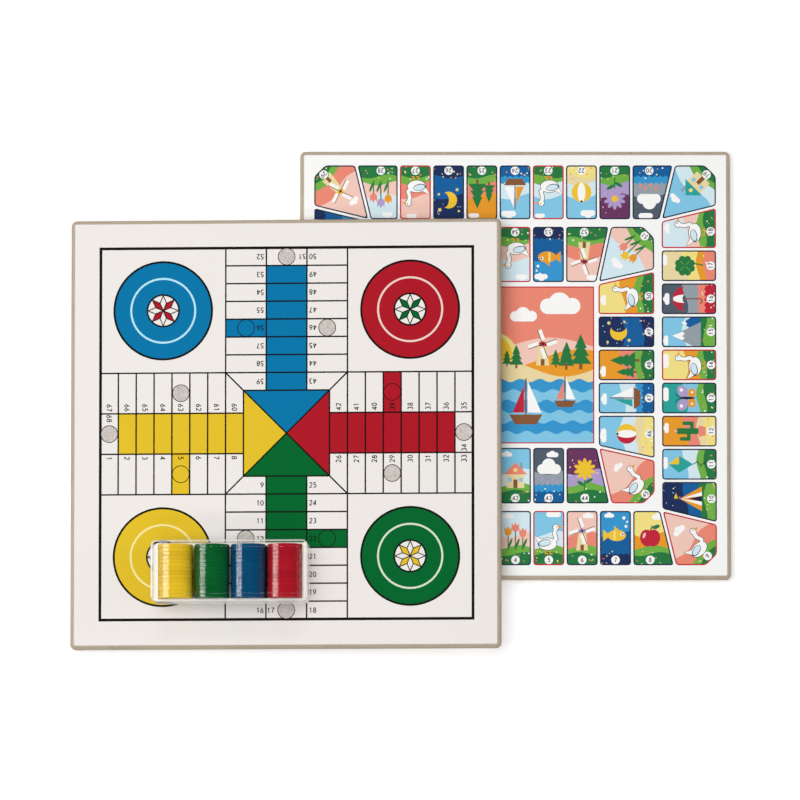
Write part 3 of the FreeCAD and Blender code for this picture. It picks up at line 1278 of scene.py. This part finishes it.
def stack_tree():
    """Counters set out along a line, each a touch out of line and with a shade of its own."""
    tree = bpy.data.node_groups.new("counter_stack", "GeometryNodeTree")
    tree.interface.new_socket("Counter", in_out="INPUT", socket_type="NodeSocketGeometry")
    for name, kind in STACK_INPUTS.items():
        tree.interface.new_socket(name, in_out="INPUT", socket_type=kind)
    tree.interface.new_socket("Stack", in_out="OUTPUT", socket_type="NodeSocketGeometry")
    given = add_node(tree, "NodeGroupInput").outputs
    line = add_node(tree, "GeometryNodeMeshLine", {
        "Count": given["Count"], "Start Location": given["Start"], "Offset": given["Step"],
    })
    least = add_node(tree, "ShaderNodeVectorMath", {0: given["Slack"], "Scale": -1.0}, operation="SCALE")
    shake = add_node(tree, "FunctionNodeRandomValue", {
        0: least.outputs["Vector"], 1: given["Slack"], "Seed": given["Seed"],
    }, data_type="FLOAT_VECTOR")
    shaken = add_node(tree, "GeometryNodeSetPosition", {
        "Geometry": line.outputs["Mesh"], "Offset": shake.outputs["Value"],
    })
    shade = add_node(tree, "FunctionNodeRandomValue", {"Seed": given["Seed"]})
    shaded = add_node(tree, "GeometryNodeStoreNamedAttribute", {
        "Geometry": shaken.outputs["Geometry"], "Name": "shade", "Value": shade.outputs[1],
    }, domain="POINT")
    placed = add_node(tree, "GeometryNodeInstanceOnPoints", {
        "Points": shaded.outputs["Geometry"], "Instance": given["Counter"],
    })
    real = add_node(tree, "GeometryNodeRealizeInstances", {"Geometry": placed.outputs["Instances"]})
    coloured = add_node(tree, "GeometryNodeSetMaterial", {
        "Geometry": real.outputs["Geometry"], "Material": given["Plastic"],
    })
    add_node(tree, "NodeGroupOutput", {"Stack": coloured.outputs["Geometry"]})
    return tree


counter_stack = stack_tree()
print("stack tree:", len(counter_stack.nodes), "nodes")

# %% Moulded plastic of the counters
POLYSTYRENE_IOR = 1.59
PLASTIC_MOTTLE = 9.0
MOTTLE_HEIGHT = 0.002
COUNTER_ROUGHNESS = (0.14, 0.19)
SHADE_SPREAD = 0.10


def moulded_polystyrene(name, code):
    """Glossy opaque polystyrene from a mould: deep even colour, a hard shine, a faint waviness."""
    material, tree, surface = new_material("moulded_polystyrene_" + name)
    shade = add_node(tree, "ShaderNodeAttribute", attribute_name="shade")
    stops = []
    for position, lift in enumerate((1 - SHADE_SPREAD, 1 + SHADE_SPREAD)):
        stops.append((position, [min(v * lift, 1) for v in linear(code)]))
    mottle = noise(tree, object_place(tree), PLASTIC_MOTTLE)
    plastic = principled(tree, {
        "Base Color": tones(tree, shade.outputs["Fac"], stops), "IOR": POLYSTYRENE_IOR,
        "Roughness": spread(tree, mottle, COUNTER_ROUGHNESS),
        "Normal": bump(tree, mottle, MOTTLE_HEIGHT),
    })
    tree.links.new(plastic, surface)
    return material


COUNTER_COLOURS = {"yellow": "#FCCB2A", "green": "#05652F", "blue": "#04507E", "red": "#BA192A"}
counter_plastics = {name: moulded_polystyrene(name, code) for name, code in COUNTER_COLOURS.items()}
print(len(counter_plastics), "counter plastics")

# %% Build the four stacks
COUNTERS = 14
SLACK = 0.12


def stack_piece(colour, seed):
    """One colour's counters as a plain mesh, on the body that rolls in the tray."""
    nodes = sorted(node for node in frame["nodes"] if node.startswith(colour + "_counter"))
    first_low, first_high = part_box(nodes[0])
    second_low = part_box(nodes[1])[0]
    maker = bpy.data.objects.new(colour + "_maker", counter_mesh(counter_plastics[colour]))
    bpy.context.scene.collection.objects.link(maker)
    modifier = maker.modifiers.new("stack", "NODES")
    modifier.node_group = counter_stack
    values = {
        "Count": COUNTERS, "Seed": seed, "Plastic": counter_plastics[colour],
        "Start": (first_low + first_high) / 2, "Step": (0, second_low.y - first_low.y, 0),
        "Slack": (SLACK * MM, 0, SLACK * MM),
    }
    for socket in counter_stack.interface.items_tree:
        if socket.name in values:
            modifier[socket.identifier] = values[socket.name]
    view = bpy.context.evaluated_depsgraph_get()
    stack = maker.evaluated_get(view)
    mesh = bpy.data.meshes.new_from_object(stack, preserve_all_data_layers=True, depsgraph=view)
    bpy.data.objects.remove(maker)
    mesh.name = colour + "_counters"
    return new_piece(mesh.name, mesh, colour + "_stack", nodes)


for seed, colour in enumerate(COUNTER_COLOURS):
    piece = stack_piece(colour, seed)
    print(piece.name, len(piece.data.polygons), "faces", [m.name for m in piece.data.materials])

# %% [markdown]
# ## The clear box
# Tray and lid are moulded in polystyrene, about a millimetre thick: the lid clear, the tray with a
# frosted rim. A wall so thin hardly bends the light, so the lid lets it through with an index near one,
# under a coat that has the plastic's own index and gives the shine. The bright edges are painted light:
# a white share, set by a band by place and the angle of view, stands in for the light the clear edges
# gather and send on, and the tray's frosted rim glows a little for the same reason. Light that bounces
# about inside would need many more samples than it is worth, so every ray but the camera's meets a
# plain clear film, and the counters are lit as if the lid were air.

# %% Who sees the plastic, where it is frosted and where light is painted on
CLEAR_FILM = "#FAFAF9"


def clear_film(tree):
    """A film that lets nearly all light straight through."""
    return add_node(tree, "ShaderNodeBsdfTransparent", {"Color": linear(CLEAR_FILM)}).outputs["BSDF"]


def for_the_camera(tree, seen, surface, through_lid):
    """Shows a shader to the camera, and through the lid if asked. Other rays meet a clear film."""
    film = clear_film(tree)
    rays = add_node(tree, "ShaderNodeLightPath").outputs
    met = mixed(tree, rays["Is Glossy Ray"], seen, film)
    met = mixed(tree, rays["Is Transmission Ray"], met, seen if through_lid else film)
    met = mixed(tree, rays["Is Diffuse Ray"], met, film)
    met = mixed(tree, rays["Is Shadow Ray"], met, film)
    tree.links.new(met, surface)


def edge_band(tree, node, side, end, depth):
    """A mask: one on a band round a leaning node's outside, down to a depth under its top, else none."""
    points = [lean.inverted() @ v.co for v in frame["nodes"][node].data.vertices]
    low, high = [Vector([pick(p[k] for p in points) for k in range(3)]) for pick in (min, max)]
    half = (high - low) / 2
    square_on = add_node(tree, "ShaderNodeMapping", {
        "Vector": object_place(tree), "Rotation": lean.inverted().to_euler(), "Location": (low + high) / -2,
    }).outputs["Vector"]
    out = add_node(tree, "ShaderNodeVectorMath", {0: square_on}, operation="ABSOLUTE")
    across = add_node(tree, "ShaderNodeSeparateXYZ", {"Vector": out.outputs["Vector"]}).outputs
    upright = add_node(tree, "ShaderNodeSeparateXYZ", {"Vector": square_on}).outputs
    past_side = calculate(tree, "GREATER_THAN", across["X"], half.x - side * MM)
    past_end = calculate(tree, "GREATER_THAN", across["Y"], half.y - end * MM)
    near_top = calculate(tree, "GREATER_THAN", upright["Z"], half.z - depth * MM)
    return calculate(tree, "MULTIPLY", calculate(tree, "MAXIMUM", past_side, past_end), near_top)


print("clear film passes", round(linear(CLEAR_FILM)[0], 3), "of the light")

# %% Clear lid
CLEAR_HAZE = 6.0
HAZE_ROUGHNESS = (0.02, 0.06)
THIN_WALL_IOR = 1.01
COAT_ROUGHNESS = 0.04
EDGE_BLEND = 0.4
EDGE_START = 0.3
# Shares of painted white light: on walls seen edge-on, and on a band round the lid's top edges whose width
# and depth follow
WALL_PAINTED_LIGHT = 0.35
EDGE_PAINTED_LIGHT = 0.5
LID_SIDE_BAND = 2.6
LID_END_BAND = 1.6
LID_BAND_DEPTH = 3.0


def clear_polystyrene():
    """Clear thin-walled polystyrene: a hard shine, a straight look through, and milky edges that are
    painted light.
    """
    material, tree, surface = new_material("clear_moulded_polystyrene")
    haze = noise(tree, object_place(tree), CLEAR_HAZE)
    clear = principled(tree, {
        "Base Color": linear("#FDFDFC"), "Transmission Weight": 1.0, "IOR": THIN_WALL_IOR,
        "Roughness": spread(tree, haze, HAZE_ROUGHNESS),
        "Coat Weight": 1.0, "Coat IOR": POLYSTYRENE_IOR, "Coat Roughness": COAT_ROUGHNESS,
    })
    # White mixed in at walls and edges: painted light for what the clear edges gather and reflect
    milky_painted_light = principled(tree, {"Base Color": linear("#FEFCF6"), "Roughness": 0.3})
    facing = add_node(tree, "ShaderNodeLayerWeight", {"Blend": EDGE_BLEND})
    wall = add_node(tree, "ShaderNodeMapRange", {
        "Value": facing.outputs["Facing"], "From Min": EDGE_START, "To Max": WALL_PAINTED_LIGHT,
    })
    band = edge_band(tree, "counter_lid", LID_SIDE_BAND, LID_END_BAND, LID_BAND_DEPTH)
    edge = calculate(tree, "MULTIPLY", band, EDGE_PAINTED_LIGHT)
    share = calculate(tree, "MAXIMUM", wall.outputs["Result"], edge)
    for_the_camera(tree, mixed(tree, share, clear, milky_painted_light), surface, through_lid=False)
    return material


# Its milky edges are painted light
dress("counter_lid", clear_polystyrene())
print("lid in clear polystyrene, milky by", EDGE_PAINTED_LIGHT, "along its edges")

# %% Frosted tray
FROST = 0.75
SIDE_FROST = 6.2
END_FROST = 3.2
WHOLE_DEPTH = 20.0
# Strength of a painted glow on the frosted rim, standing in for light piped along the wall
RIM_PAINTED_GLOW = 0.3


def frosted_polystyrene():
    """The same plastic with a matt, milky rim and clear cradles. The rim has a painted glow for the light
    the wall pipes to it.
    """
    material, tree, surface = new_material("frosted_moulded_polystyrene")
    # Frosted white, with an emission that is painted light, not a lamp
    milky_painted_light = principled(tree, {
        "Base Color": linear("#FEFCF4"), "IOR": POLYSTYRENE_IOR, "Roughness": 0.4,
        "Emission Color": linear("#FFF8EA"), "Emission Strength": RIM_PAINTED_GLOW,
    })
    material.cycles.emission_sampling = "NONE"
    rim = edge_band(tree, "counter_tray", SIDE_FROST, END_FROST, WHOLE_DEPTH)
    share = calculate(tree, "MULTIPLY", rim, FROST)
    for_the_camera(tree, mixed(tree, share, clear_film(tree), milky_painted_light), surface, through_lid=True)
    return material


dress("counter_tray", frosted_polystyrene())
print("tray in polystyrene with a frosted rim", SIDE_FROST, "mm wide")
